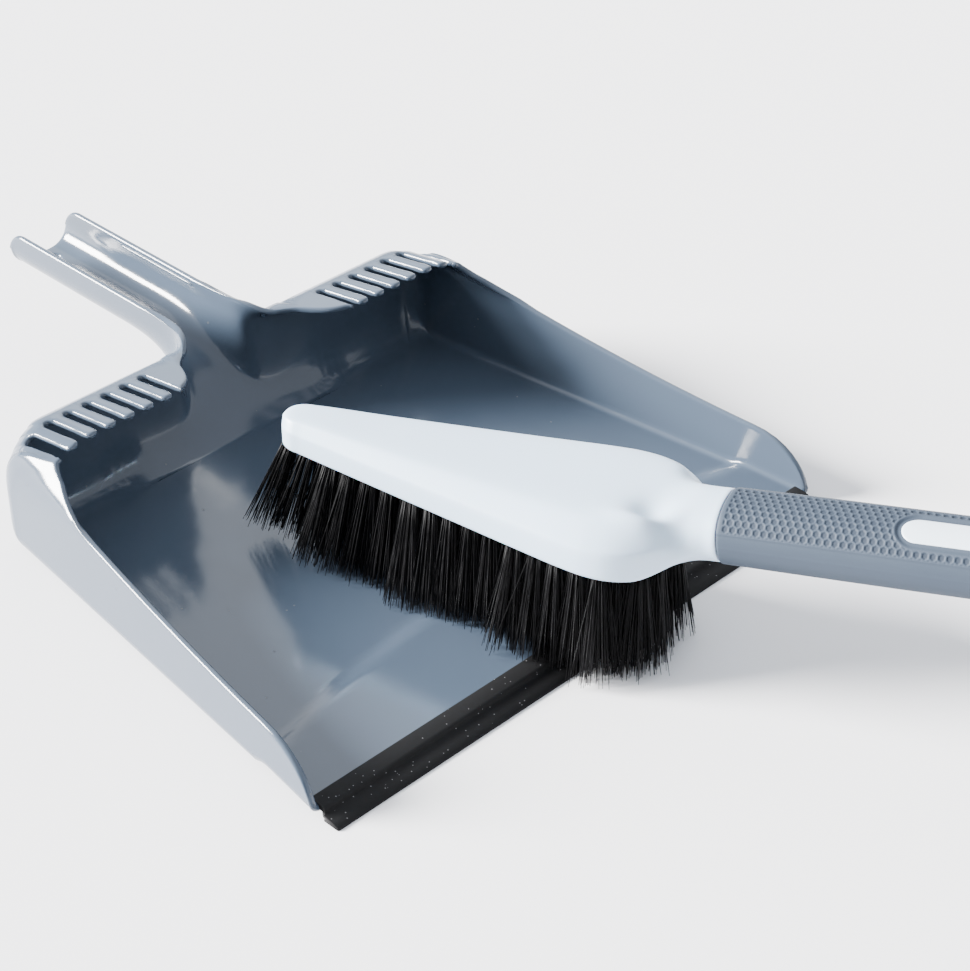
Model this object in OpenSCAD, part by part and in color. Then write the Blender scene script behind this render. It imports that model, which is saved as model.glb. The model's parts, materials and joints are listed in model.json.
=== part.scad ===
// Dustpan with a soft lip, and a hand brush lying across its mouth with the bristles on the pan floor.
// Millimetres, +Z up, +Y towards the pan's handle, +X towards the pan's right wall.
// The origin is on the flat underside of the pan.

/* [Pan] */
// Half width of the pan across the front feet
pan_half_w = 132.6; // [118:0.2:146]
// Distance from the lip's front edge to the outside of the rear wall
pan_len = 216; // [204:1:236]
// How far the side walls draw in per millimetre of length
wall_splay = 0.112; // [0.09:0.002:0.125]
// Height of the side wall just behind its rounded front corner
wall_front_h = 24.2; // [18:0.2:30]
// Thickness of the moulded walls
wall_t = 2.6; // [2:0.1:3.2]
// Thickness of the pan floor
floor_t = 3; // [2.4:0.1:3.6]
// Radius of the two rear corners, seen from above
corner_r = 30; // [24:1:36]
// Height of the ridge where the front ramp ends
ridge_h = 5.2; // [4.4:0.1:5.2]
// Top of the rear hood at its front edge
hood_h = 55; // [50:0.5:62]
// Depth of the rear hood, from its outer edge to the tooth tips
hood_d = 36; // [32:0.5:38]

/* [Comb] */
// Number of slots on each side of the handle
slot_n = 7; // [4:1:7]
// Spacing of the slots
slot_pitch = 9; // [8.4:0.1:9]
// Width of one slot
slot_w = 4; // [3:0.1:5]
// Length of one slot
slot_len = 24; // [18:0.5:25]
// Position of the slot next to the handle
slot_x0 = 46.7; // [46.5:0.1:50]

/* [Pan handle] */
// Half width of the open channel handle
chan_r = 16; // [14:0.5:18]
// Wall thickness of the channel
chan_t = 2.8; // [2.2:0.1:3.4]
// Top of the channel's rails
chan_top = 53; // [51:0.5:56]
// Length of the channel behind the rear wall
chan_len = 118; // [90:1:140]
// Radius of the hanging hole in the channel floor
chan_hole_r = 3; // [2:0.25:4]

/* [Lip] */
// Half width of the soft lip
lip_half_w = 130; // [110:0.2:130]
// Depth of the strap behind the blade
lip_d = 15.5; // [13:0.5:17]

/* [Brush head] */
// Position of the brush across the pan, at the nose
nose_x = -32.9; // [-45:0.5:-20]
// Position of the brush along the pan, at the nose
nose_y = 127.7; // [115:0.5:135]
// Turn of the brush seen from above
brush_turn = -68.8; // [-76:0.2:-60]
// Height of the underside of the head
head_z = 47; // [42:0.5:56]
// Radius of the narrow nose
nose_r = 9.5; // [8.5:0.25:11]
// Radius of the broad heel
heel_r = 32; // [30:0.5:36]
// Distance from the nose centre to the heel centre
heel_s = 120; // [112:1:128]
// Height of the crown over the heel
crown_h = 19; // [15:0.5:20]

/* [Brush handle] */
// Where the grip starts, from the nose centre
grip_s = 165.5; // [160:0.5:172]
// Upward lean of the handle
handle_lean = 7.6; // [5:0.2:10]
// Length of the soft grip
grip_len = 134; // [110:1:150]
// Half height of the grip
grip_r = 11.8; // [11:0.1:12.5]
// Extra half width that makes the grip oval
grip_flat = 3.2; // [2:0.1:4.5]
// Radius of the stiff core inside the grip
core_r = 8; // [7:0.1:8.6]
// Length of the end cap
cap_len = 26; // [25:0.5:32]
// Radius of the hanging hole in the end cap
cap_hole_r = 4; // [3:0.25:5]

/* [Tufts] */
// Spacing of the tufts along the head
tuft_pitch = 8; // [7.8:0.1:9]
// Spacing of the rows across the head
row_pitch = 7.5; // [7.4:0.1:8.2]
// Radius of a tuft in its hole
tuft_r = 2.2; // [1.8:0.05:2.4]
// Radius of a tuft at its tip
tip_r = 3.3; // [2.6:0.05:3.5]
// Depth of a tuft hole
hole_d = 8; // [7:0.25:9]
// Forward lean of the foremost tuft
nose_fan = 24; // [10:1:28]
// Sideways lean of the outermost rows
side_fan = 7; // [3:0.5:10]

/* [Hidden] */
$fn = 64;

base_y = -110;                    // the origin lies this far behind the lip's front edge
clear = 0.3;                      // gap between a piece and its seat
front_y = 10.3;                   // front end of the side walls
big = 400;
pale = [0.78, 0.84, 0.88];
pan_blue = [0.42, 0.48, 0.55];
black = [0.03, 0.03, 0.035];

// ---- pan outline seen from above: straight drawn-in walls, round rear corners ----
hood_y = pan_len - hood_d;
function half_w(y) = pan_half_w - wall_splay * (y - front_y);
module pan_plan(inset) {
  ry = pan_len - corner_r;
  cx = half_w(ry) - corner_r;
  r = corner_r - inset;
  polygon([[-half_w(front_y) + inset, front_y], [half_w(front_y) - inset, front_y],
           [half_w(ry) - inset, ry], [-half_w(ry) + inset, ry]]);
  for (m = [-1, 1]) translate([m * cx, ry]) circle(r = r);
  translate([-cx, ry - 1]) square([2 * cx, r + 1]);
}

// ---- side view: rounded front corner, rising rim, hood, curved rear wall ----
function rim_z(y) = wall_front_h + 0.06 * (y - 38) + 0.0005 * pow(y - 38, 2)
                    + (y > 151 ? 0.0075 * pow(y - 151, 2) : 0);
corner_pts = [for (a = [0 : 15 : 90]) [front_y + 27.7 * (1 - cos(a)), wall_front_h * sin(a)]];
rim_pts = [for (i = [1 : 9]) let (y = 38 + (hood_y - 38) * i / 9) [y, rim_z(min(y, 180)) + max(0, y - 180)]];
rear_b = hood_h - 13;
rear_a = 38;
function hood_z(y) = hood_h - 0.175 * (y - hood_y);
module rear_curve_side(inset) {
  // outside of the pan behind the front corner, with the whole rear wall rolled up
  rr = [for (a = [0 : 9 : 90]) [pan_len - rear_a + (rear_a - inset) * sin(a), rear_b - (rear_b - inset) * cos(a)]];
  polygon(concat([[-5, inset]], rr,
                 [[pan_len - inset, hood_z(pan_len - 6) - inset - 1],
                  [pan_len - 5 - inset, hood_z(pan_len - 6) - inset + 1.5],
                  [hood_y - 0.01, hood_z(hood_y) - inset], [hood_y - 12, hood_z(hood_y) - inset], [-5, hood_h - inset]]));
}
module side_solid() {
  intersection() {
    rear_curve_side(0);
    union() {
      polygon(concat([[front_y, 0]], corner_pts, rim_pts, [[hood_y + 0.02, 0]]));
      translate([hood_y, 0]) square([pan_len, hood_h + 10]);
    }
  }
}
module along_x(w) translate([-w, 0, 0]) rotate([90, 0, 90]) linear_extrude(2 * w) children();
module along_y(y0, y1) translate([0, y1, 0]) rotate([90, 0, 0]) linear_extrude(y1 - y0) children();

// ---- cross section: the shoulders of the walls round over towards the rear ----
function shoulder(x) = hood_h - 0.018 * pow(max(0, x - 86), 2);
module front_section(inset) {
  xs = [86 : 4 : 118];
  right = [for (x = xs) [x - inset, shoulder(x) - inset]];
  left = [for (i = [0 : 8]) let (x = 118 - 4 * i) [-(x - inset), shoulder(x) - inset]];
  lo = shoulder(118) - inset;
  polygon(concat([[-pan_half_w - 28, -1], [pan_half_w + 28, -1], [pan_half_w + 28, lo]], [for (i = [0 : 8]) right[8 - i]],
                 [for (i = [0 : 8]) left[8 - i]], [[-pan_half_w - 28, lo]]));
}

// the open mouth above the floor; its edge curls in where the walls meet the hood
function mouth(y) = half_w(y) - wall_t - (y > 145 ? 0.0095 * pow(y - 145, 2) : 0);
module mouth_plan() {
  ys = [for (i = [0 : 8]) 145 + (hood_y - 145) * i / 8];
  polygon(concat([[-mouth(front_y) - 0, -1], [mouth(front_y), -1], [mouth(front_y), front_y]],
                 [for (y = ys) [mouth(y), y]], [for (i = [0 : 8]) [-mouth(ys[8 - i]), ys[8 - i]]],
                 [[-mouth(front_y), front_y]]));
}
module throat_plan() {
  h = chan_r - chan_t;
  polygon([[-38, hood_y - 5], [38, hood_y - 5], [37.7, hood_y + 4], [31, hood_y + 14], [26.7, hood_y + 24],
           [23, pan_len - 1], [17, pan_len + 7], [h, pan_len + 20], [h, pan_len + 22], [-h, pan_len + 22],
           [-h, pan_len + 20], [-17, pan_len + 7], [-23, pan_len - 1], [-26.7, hood_y + 24],
           [-31, hood_y + 14], [-37.7, hood_y + 4]]);
}
module flare_plan() {
  polygon([[-30, pan_len - 8], [30, pan_len - 8], [26.5, pan_len - 1], [20, pan_len + 7], [chan_r, pan_len + 20],
           [chan_r, pan_len + 24], [-chan_r, pan_len + 24], [-chan_r, pan_len + 20], [-20, pan_len + 7],
           [-26.5, pan_len - 1]]);
}
module throat_ramp(up) {
  // the channel floor runs down into the pan: up = 0 outside, chan_t inside
  polygon([[pan_len - 24, 4 + up], [pan_len - 12, 9 + up], [pan_len + 6, 20 + up], [pan_len + 20, 26 + up],
           [pan_len + 34, chan_top - 9.5 - chan_r + up], [pan_len + 34, chan_top + (up > 0 ? 20 : 0)],
           [pan_len - 24, chan_top + (up > 0 ? 20 : 0)]]);
}
module u_outer(r) {
  translate([0, chan_top - 9.5]) circle(r = r);
  translate([-r, chan_top - 9.5]) square([2 * r, 9.5]);
}
module channel_side() {
  y0 = pan_len - 6;
  y1 = pan_len + chan_len;
  translate([y0, chan_top - 40]) square([y1 - y0 - 10, 40]);
  translate([y1 - 10, chan_top - 10]) circle(r = 10);
  translate([y1 - 12, chan_top - 40]) square([10, 34]);
}

module pan_shell() color(pan_blue) translate([0, base_y, 0]) {
  difference() {
    union() {
      // walls, hood and floor
      difference() {
        intersection() {
          along_x(pan_half_w + 20) side_solid();
          translate([0, 0, -1]) linear_extrude(90) pan_plan(0);
          along_y(-5, pan_len + 5) front_section(0);
        }
        // open mouth
        intersection() {
          along_x(pan_half_w + 20) rear_curve_side(floor_t);
          translate([0, 0, -1]) linear_extrude(120) pan_plan(wall_t);
          translate([0, 0, -1]) linear_extrude(120) mouth_plan();
        }
        translate([0, 0, hood_h - 20]) linear_extrude(60) mouth_plan();
        // space under the hood and the curled shoulders
        intersection() {
          along_x(pan_half_w + 20) rear_curve_side(floor_t);
          translate([0, 0, -1]) linear_extrude(120) pan_plan(wall_t);
          along_y(60, pan_len + 5) front_section(wall_t);
        }
        // room for the lip
        translate([-lip_half_w - 5, -10, -1]) cube([2 * lip_half_w + 10, 8 + 10, 1 + 20]);
        translate([-half_w(12) + wall_t, 0, -1]) cube([2 * (half_w(12) - wall_t), 16, 1 + 1.7]);
      }
      // front ramp, ending in a curved ridge
      intersection() {
        along_x(half_w(30) - 1) polygon([[lip_d + 0.3, 1], [lip_d + 0.3, floor_t + 0.8], [59, ridge_h], [59, 1]]);
        translate([0, 59 - 417, 0]) cylinder(r = 417, h = 20, $fn = 128);
        translate([0, 0, -1]) linear_extrude(40) pan_plan(1);
      }
      // small feet at the front of the side walls
      for (m = [-1, 1]) translate([m * (half_w(front_y) - wall_t / 2), front_y + 1.6, 0]) cylinder(r = 2, h = 9);
      // channel handle
      intersection() {
        along_y(pan_len - 6, pan_len + chan_len) u_outer(chan_r);
        along_x(40) channel_side();
      }
      // flare between hood and rails, and the ramp that carries on under the throat
      intersection() {
        linear_extrude(chan_top) flare_plan();
        along_x(40) throat_ramp(0);
      }
      along_x(30) polygon([[pan_len - 24, 4], [pan_len - 12, 9], [pan_len - 1, 15.3], [pan_len - 1, 22],
                           [pan_len - 12, 14.5], [pan_len - 24, 8]]);
      intersection() {
        along_x(chan_r) throat_ramp(0);
        translate([-40, pan_len - 20, 0]) cube([80, 60, chan_top]);
        translate([0, pan_len - 20, chan_top - 9.5]) rotate([-90, 0, 0]) cylinder(r = 44, h = 60);
      }
    }
    // throat through hood and rear wall, and the open channel
    intersection() {
      translate([0, 0, 2]) linear_extrude(100) throat_plan();
      along_x(60) throat_ramp(chan_t);
    }
    translate([0, 0, hood_h - 10]) linear_extrude(30) throat_plan();
    along_y(pan_len + 20, pan_len + chan_len + 5) {
      translate([0, chan_top - 9.5]) circle(r = chan_r - chan_t);
      translate([-(chan_r - chan_t), chan_top - 9.5]) square([2 * (chan_r - chan_t), 30]);
    }
    // hanging hole in the channel floor
    translate([0, pan_len + chan_len - 9, chan_top - 40]) cylinder(r = chan_hole_r, h = 30);
    // comb slots in the hood
    for (m = [-1, 1]) for (i = [0 : slot_n - 1]) {
      x = m * (slot_x0 + slot_pitch * i);
      translate([x - slot_w / 2, hood_y - 8, hood_h - 17]) cube([slot_w, slot_len - slot_w / 2 + 8, 40]);
      translate([x, hood_y + slot_len - slot_w / 2, hood_h - 17]) cylinder(r = slot_w / 2, h = 40);
    }
  }
}

module lip() color(black) translate([0, base_y, 0]) {
  inner = half_w(lip_d + 1) - wall_t - clear;
  difference() {
    union() {
      along_x(lip_half_w) polygon([[0, 0], [0, 0.9], [7.4, 2.3], [7.4, 0]]);
      along_x(inner) polygon([[7.3, 0], [7.3, 2.2], [8, 4.4], [lip_d, floor_t + 2], [lip_d, 0]]);
    }
    // slot that takes the pan's front edge
    along_x(inner + 1) polygon([[7.7, 1.4], [7.7, floor_t + clear], [lip_d + 1, floor_t + clear], [lip_d + 1, 1.4]]);
  }
}

// ---- brush, drawn from its nose: +X along the head, +Z up from the underside ----
module at_brush() translate([nose_x, nose_y + base_y, head_z]) rotate([0, 0, brush_turn]) children();
tan_a = asin((heel_r - nose_r) / heel_s);
module head_plan() {
  nose = [for (i = [0 : 9]) let (a = 90 + tan_a + (180 - 2 * tan_a) * i / 9) [nose_r * cos(a), nose_r * sin(a)]];
  heel = [for (i = [0 : 20]) let (a = -90 - tan_a + (180 + 2 * tan_a) * i / 20)
          [heel_s + heel_r * cos(a), heel_r * sin(a)]];
  polygon(concat(nose, heel));
}
function head_w(s) = nose_r / cos(tan_a) + s * tan(tan_a);
grip_z = 13;                      // centre of the grip's front end above the underside
module on_handle() translate([grip_s, 0, grip_z]) rotate([0, 90 - handle_lean, 0]) children();
module oval(r, f) {
  for (m = [-1, 1]) translate([0, m * f]) circle(r = r);
  translate([-r, -f]) square([2 * r, 2 * f]);
}

// tufts: rows run along the head, tuft (row, i) exists where the head is wide enough
row_n = 7;
col_n = 19;
function row_t(k) = (k - 4) * row_pitch;
function col_s(k, i) = -4 + tuft_pitch * (i + (k % 2 == 0 ? 0 : 0.5));
function fits(k, i) = let (s = col_s(k, i), t = abs(row_t(k)))
  (s < heel_s ? t <= head_w(s) - 4.6 : norm([s - heel_s, t]) <= heel_r - 5.2);
function lean_s(s) = -nose_fan * pow(max(0, 1 - (s + 4) / 70), 1.5);
function lean_t(k) = side_fan * row_t(k) / (3 * row_pitch);
// lowest point a tuft may reach over the pan floor, the ramp and lip, and the table
function tip_z(y) = y > 67 ? floor_t + 0.45 : (y > -7 ? max(ridge_h, 5.2) + 0.4 : 0.8);
function plan_y(s, t) = nose_y + s * sin(brush_turn) + t * cos(brush_turn);
function tuft_len(k, i) = let (s = col_s(k, i), t = row_t(k),
    a = norm([lean_s(s), lean_t(k)]),
    reach = head_z * tan(a),
    yt = plan_y(s + head_z * tan(lean_s(s)), t + head_z * tan(lean_t(k))),
    drop = head_z - max(tip_z(yt - 5), tip_z(yt + 5)) - tip_r * sin(a))
  drop / cos(a);
module at_tuft(k, i) {
  s = col_s(k, i);
  translate([s, row_t(k), 0]) rotate([lean_t(k), -lean_s(s), 0]) rotate([180, 0, 0]) children();
}

module brush_head() color(pale) at_brush() {
  difference() {
    union() {
      intersection() {
        linear_extrude(30) head_plan();
        // crowned top, lower towards the nose
        translate([0, 0, crown_h - 6.6]) rotate([0, 90 - 3, 0]) translate([80, 0, -30]) cylinder(r = 80, h = 220, $fn = 128);
      }
      // neck
      on_handle() translate([0, 0, -34]) linear_extrude(34) oval(10.2, 3.4);
      on_handle() translate([0, 0, -7]) linear_extrude(7) oval(11.4, 3.2);
      // stiff core inside the grip
      on_handle() translate([0, 0, -1]) cylinder(r = core_r, h = grip_len + 11);
    }
    for (k = [1 : row_n]) for (i = [0 : col_n - 1]) if (fits(k, i))
      at_tuft(k, i) translate([0, 0, -hole_d]) cylinder(r = tuft_r + clear, h = hole_d + 4, $fn = 24);
  }
}

module grip_sleeve() color([0.45, 0.5, 0.56]) at_brush() on_handle() {
  difference() {
    translate([0, 0, clear]) linear_extrude(grip_len) oval(grip_r, grip_flat);
    translate([0, 0, -1]) cylinder(r = core_r + clear, h = grip_len + 5);
    // seat of the badge
    translate([-grip_r - 1, 0, 0]) rotate([0, 90, 0]) translate([-72, 0, 0]) linear_extrude(2.3) badge_plan(clear);
  }
}
module badge_plan(g) {
  translate([-42, 0]) circle(r = 5.3 + g);
  circle(r = 5.3 + g);
  translate([-42, -5.3 - g]) square([42, 10.6 + 2 * g]);
}
module grip_badge() color([0.85, 0.88, 0.92]) at_brush() on_handle()
  translate([-grip_r + 0.1, 0, 0]) rotate([0, 90, 0]) translate([-72, 0, 0]) linear_extrude(0.9) badge_plan(0);

module end_cap() color(pale) at_brush() on_handle() {
  z0 = grip_len + 2 * clear;
  difference() {
    intersection() {
      translate([0, 0, z0]) linear_extrude(cap_len) oval(grip_r - 0.4, grip_flat);
      rotate([90, 0, 0]) translate([0, z0 + cap_len - 16, -30]) {
        cylinder(r = 16, h = 60);
        translate([-20, -30, 0]) cube([40, 30, 60]);
      }
    }
    translate([0, 0, z0 - 1]) cylinder(r = core_r + clear, h = 10.7 - 2 * clear + 1.2);
    // hanging hole through the flat way
    translate([-20, 0, z0 + cap_len - 9]) rotate([0, 90, 0]) cylinder(r = cap_hole_r, h = 40);
  }
}

module tuft_row(k) color(black) at_brush() for (i = [0 : col_n - 1]) if (fits(k, i)) at_tuft(k, i) {
  translate([0, 0, -hole_d + 1.2]) cylinder(r = tuft_r, h = hole_d);
  translate([0, 0, 0.6]) cylinder(r1 = tuft_r, r2 = tip_r, h = tuft_len(k, i) - 0.6);
}
module anchor_row(k) color([0.7, 0.7, 0.7]) at_brush() for (i = [0 : col_n - 1]) if (fits(k, i)) at_tuft(k, i)
  translate([-1.9, -0.3, -hole_d + 0.15]) cube([3.8, 0.6, 0.8]);

pan_shell();
lip();
brush_head();
grip_sleeve();
grip_badge();
end_cap();
tuft_row(1);  // tuft_row_1
tuft_row(2);  // tuft_row_2
tuft_row(3);  // tuft_row_3
tuft_row(4);  // tuft_row_4
tuft_row(5);  // tuft_row_5
tuft_row(6);  // tuft_row_6
tuft_row(7);  // tuft_row_7
anchor_row(1);  // anchor_row_1
anchor_row(2);  // anchor_row_2
anchor_row(3);  // anchor_row_3
anchor_row(4);  // anchor_row_4
anchor_row(5);  // anchor_row_5
anchor_row(6);  // anchor_row_6
anchor_row(7);  // anchor_row_7
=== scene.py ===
# %% [markdown]
# A dustpan and a hand brush. The pan is one thin glossy moulding: a flat floor, walls that curl over at
# the back into a hood with comb slots, and an open channel for a handle. The brush lies across its
# mouth. Everything here is a surface worked out with numpy from a few sizes. Lengths are in millimetres
# while a shape is worked out, measured from the lip's front edge, and turned into metres at the end.

# %% Load the fixed frame
import json
import math
import bmesh
import bpy
import numpy as np
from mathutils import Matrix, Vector, kdtree

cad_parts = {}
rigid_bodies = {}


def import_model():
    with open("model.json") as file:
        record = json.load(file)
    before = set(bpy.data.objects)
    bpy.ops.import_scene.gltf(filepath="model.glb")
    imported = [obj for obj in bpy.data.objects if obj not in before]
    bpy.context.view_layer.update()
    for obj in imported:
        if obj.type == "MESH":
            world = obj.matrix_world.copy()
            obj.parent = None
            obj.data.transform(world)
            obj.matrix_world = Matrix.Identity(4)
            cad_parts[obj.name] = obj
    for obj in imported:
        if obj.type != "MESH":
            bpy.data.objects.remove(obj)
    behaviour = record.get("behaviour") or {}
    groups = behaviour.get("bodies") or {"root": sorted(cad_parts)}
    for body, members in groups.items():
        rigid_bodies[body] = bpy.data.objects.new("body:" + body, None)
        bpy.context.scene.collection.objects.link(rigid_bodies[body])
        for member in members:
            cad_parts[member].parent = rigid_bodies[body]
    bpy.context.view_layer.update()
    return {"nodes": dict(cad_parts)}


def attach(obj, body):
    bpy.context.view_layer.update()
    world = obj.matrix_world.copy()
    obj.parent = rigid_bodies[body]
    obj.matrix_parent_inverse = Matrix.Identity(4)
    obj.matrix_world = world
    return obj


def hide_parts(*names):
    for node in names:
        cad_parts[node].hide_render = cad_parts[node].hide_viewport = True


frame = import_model()
rng = np.random.default_rng(11)
BASE_Y = -110.0  # the row's origin lies 110 mm behind the lip's front edge

# %% [markdown]
# Every piece is a list of points and a list of four-sided faces. One helper turns them into an object
# on a body, so the rest of the lesson can stay with shapes. Smooth shading is set on every face and
# hard edges are left to the geometry, which rounds each edge as a mould would.

# %% From arrays to an object
def add_piece(name, points, faces, body, material=None, smooth=True):
    """points in millimetres (n, 3); faces an array of point numbers, or a list of such arrays."""
    p = np.asarray(points, float).copy()
    p[:, 1] += BASE_Y
    p *= 0.001
    groups = [np.asarray(g, np.int32) for g in (faces if isinstance(faces, list) else [faces])]
    ids = np.concatenate([g.ravel() for g in groups])
    size = np.concatenate([np.full(len(g), g.shape[1], np.int32) for g in groups])
    mesh = bpy.data.meshes.new(name)
    mesh.vertices.add(len(p))
    mesh.vertices.foreach_set("co", p.astype(np.float32).ravel())
    mesh.loops.add(len(ids))
    mesh.loops.foreach_set("vertex_index", ids)
    mesh.polygons.add(len(size))
    mesh.polygons.foreach_set("loop_start", (np.cumsum(size) - size).astype(np.int32))
    mesh.polygons.foreach_set("loop_total", size)
    mesh.polygons.foreach_set("use_smooth", np.full(len(size), smooth))
    mesh.update(calc_edges=True)
    mesh.validate()
    o = bpy.data.objects.new(name, mesh)
    bpy.context.scene.collection.objects.link(o)
    if body:
        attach(o, body)
    if material:
        mesh.materials.append(material)
    return o

def grid_faces(rows, cols, wrap=False):
    """Four-sided faces of a grid of points numbered row by row; wrap joins the last column to the first."""
    j = np.arange(cols if wrap else cols - 1)
    i = np.arange(rows - 1)[:, None] * cols
    k = (j + 1) % cols
    return np.stack([i + j, i + k, i + cols + k, i + cols + j], -1).reshape(-1, 4)

def fan(centre, ring, flip=False):
    """Triangles from one point to a closed ring of points."""
    after = np.roll(ring, -1)
    a, b = (after, ring) if flip else (ring, after)
    return np.stack([np.full(len(ring), centre), a, b], -1)

def bar_faces(rows, cols):
    """A closed bar: a tube of rings, the other way round than grid_faces, with one face over each end."""
    first = np.arange(cols)[None]
    return [grid_faces(rows, cols, wrap=True)[:, ::-1], first, ((rows - 1) * cols + first)[:, ::-1]]

def smoothstep(x):
    """0 below x = 0, 1 above x = 1, and 3x^2 - 2x^3 between them."""
    x = np.clip(x, 0.0, 1.0)
    return x * x * (3 - 2 * x)

# %% [markdown]
# The pan is a thin sheet, so it is worked out as one middle surface that is given its thickness
# afterwards. Two families of lines cover it. Across the floor they are plain rows. From the floor's
# edge outwards each line climbs a rounded foot, a wall, and a shoulder that leans in to the rim. Three
# curves steer these lines: the foot, the wall seen from above, and the rim.

# %% Sizes of the pan
HALF_W, SPLAY, FRONT, LENGTH = 132.6, 0.112, 10.3, 216.0
T = 1.3  # half the sheet's thickness
HOOD_Y, HOOD_Z, REAR_RISE = 180.3, 53.6, 19.0  # the hood's rim, and the rear foot's height
FLOOR_Z = 1.65  # middle of the flat floor
SLOT_PITCH = 9.0
SLOTS = 46.7 + SLOT_PITCH * np.arange(7)  # middles of the comb slots
SLOT_R, TIP_R = 2.0, 2.3  # half a slot's width, roundness of a finger's tip
EDGE = np.array([0.0, 0.09, 0.32, 0.72, 1.3])  # distances from an edge where its roundness is sampled

def wall_x(y):
    """The side wall is straight and leans in towards the back."""
    return HALF_W - T - SPLAY * (y - FRONT)

def rim_height(y):
    """A quarter round at the front, then a slow parabola that steepens where the wall curls in."""
    y = np.asarray(y, float)
    c = np.clip(1 - (y - FRONT) / 27.7, 0, 1)
    rise = 24.2 * np.sqrt(1 - c * c)
    late = 24.2 + 0.06 * (y - 38) + 0.0005 * (y - 38) ** 2 + 0.0075 * np.maximum(0, y - 151) ** 2
    return np.where(y < 38, rise, late)

def floor_height(x, y):
    """Middle of the floor: a ramp behind the lip that ends in a curved ridge, then flat."""
    ridge = 59 - 0.0012 * x * x
    up = 0.9 + 1.2 * np.clip((y - 15.8) / np.maximum(ridge - 15.8, 1), 0, 1)
    return FLOOR_Z + up * smoothstep((ridge + 4.5 - y) / 6.0)

# %% [markdown]
# Columns are placed where the shape needs them: each comb slot gets columns on both its edges and a few
# very close beside them, because that is where the edge's roundness lives.

# %% Columns across the rear and rows along the side
half = EDGE[1:]
across_slot = np.array([-SLOT_R, -1.5, -0.8, 0, 0.8, 1.5, SLOT_R])
REAR_MIN = 30.5
comb_cols = []
for c in SLOTS:
    comb_cols += list(c - SLOT_R - half[::-1]) + list(c + across_slot)
    comb_cols += list(c + SLOT_R + half) + [c + SLOT_PITCH / 2]
rear_x = np.array(sorted([REAR_MIN, 32.5, 34.5, 36.0, 37.5, 39.0, 40.5, 42.0, 43.0] + comb_cols + [107.2]))
rear_x = rear_x[np.r_[True, np.diff(rear_x) > 1e-6]]
REAR_MAX = rear_x[-1]

side_a = np.radians(np.r_[0, 8, 15, 22, 30, 38, 47, 56, 66, 78, 90])
FOOT_Y, FOOT_R, FOOT_SIDE, FOOT_BACK = 192.0, 8.0, 4.6, 200.0
side_y = np.r_[FRONT + 27.7 * (1 - np.cos(side_a)), np.arange(41.5, 190, 3.5), FOOT_Y]
foot_arc = np.radians([10, 20, 30, 40, 48, 56, 63, 70.0])  # turns the foot curve from side to rear
foot_x0 = wall_x(FOOT_Y) - FOOT_SIDE
REAR_FOOT = foot_x0 - FOOT_R
print("rear columns", len(rear_x), "side rows", len(side_y), "foot corner at x", round(REAR_FOOT, 1))

# %% [markdown]
# The three steering curves of the right half run from the front foot, along the side, round the corner,
# along the rear, through the flare beside the handle and out along the rail. Each is an array with one
# point for each line, so the whole wall is one expression on arrays.

# %% Foot, wall and rim curves of the right half
def bezier(points, t):
    """Point on a Bezier curve of any order, as nested straight blends between its control points."""
    p = [np.asarray(q, float)[None] for q in points]
    t = np.asarray(t, float)[:, None]
    while len(p) > 1:
        p = [a * (1 - t) + b * t for a, b in zip(p[:-1], p[1:])]
    return p[0]

# side
shift = smoothstep((side_y - 146) / 46)
sy_wall, sy_rim = side_y + 12 * shift, side_y - 19 * shift
side_foot = np.c_[wall_x(side_y) - FOOT_SIDE, side_y]
side_wall = np.c_[wall_x(sy_wall), sy_wall]
curl = 0.0085 * np.maximum(0, sy_rim - 148) ** 2
side_rim = np.c_[wall_x(sy_rim) - curl, sy_rim]
side_rim_z = np.maximum(rim_height(sy_rim), 5.0)

# corner
CORNER_R, cy = 12, 204.0
CR = CORNER_R - T
cx = wall_x(cy) + T - CORNER_R
a_end = math.acos((REAR_MAX - cx) / CR)
ang = np.linspace(0, a_end, len(foot_arc) + 2)[1:-1]
corner_foot = np.c_[foot_x0 - FOOT_R + FOOT_R * np.cos(foot_arc), FOOT_Y + FOOT_R * np.sin(foot_arc)]
corner_wall = np.c_[cx + CR * np.cos(ang), cy + CR * np.sin(ang)]
r0, r1 = side_rim[-1], np.array([104.3, HOOD_Y])
corner_t = np.linspace(0, 1, len(ang) + 2)
CORNER_Z = 48.9  # rim height where the corner meets the hood
corner_rim = bezier([r0, [106.8, 176.0], [105.5, 179.0], r1], corner_t)[1:-1]
corner_rim_z = (side_rim_z[-1] + (CORNER_Z - side_rim_z[-1]) * corner_t ** 1.1)[1:-1]

# rear, from the corner in towards the handle
rx = rear_x[::-1]
rear_foot = np.c_[rx * REAR_FOOT / REAR_MAX, np.full(len(rx), FOOT_BACK)]
rear_y = np.where(rx > cx, cy + np.sqrt(np.maximum(CR ** 2 - (rx - cx) ** 2, 0)), LENGTH - T)
rear_wall = np.c_[rx, rear_y]
rim_in = np.clip((44.3 - rx) / (44.3 - REAR_MIN), 0, 1)
rear_rim = np.c_[np.where(rx > 102.7, 102.7 + (rx - 102.7) * 0.35, rx), HOOD_Y + 0 * rx]
near = rx < 44.4
throat_steer = [[44.2, HOOD_Y + 1.2], [41.5, 184.2], [37.2, 183.2], [34.6, 190.0], [31.2, 198.0]]
rear_rim[near] = bezier(throat_steer, rim_in[near])
HOOD_FALL = 0.175  # how fast the rim sinks on its way back to the rails
rear_rim_z = HOOD_Z - HOOD_FALL * (rear_rim[:, 1] - HOOD_Y) - 0.018 * np.maximum(0, rear_rim[:, 0] - 88) ** 2
print("rear rim heights", rear_rim_z.min().round(1), rear_rim_z.max().round(1))

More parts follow.
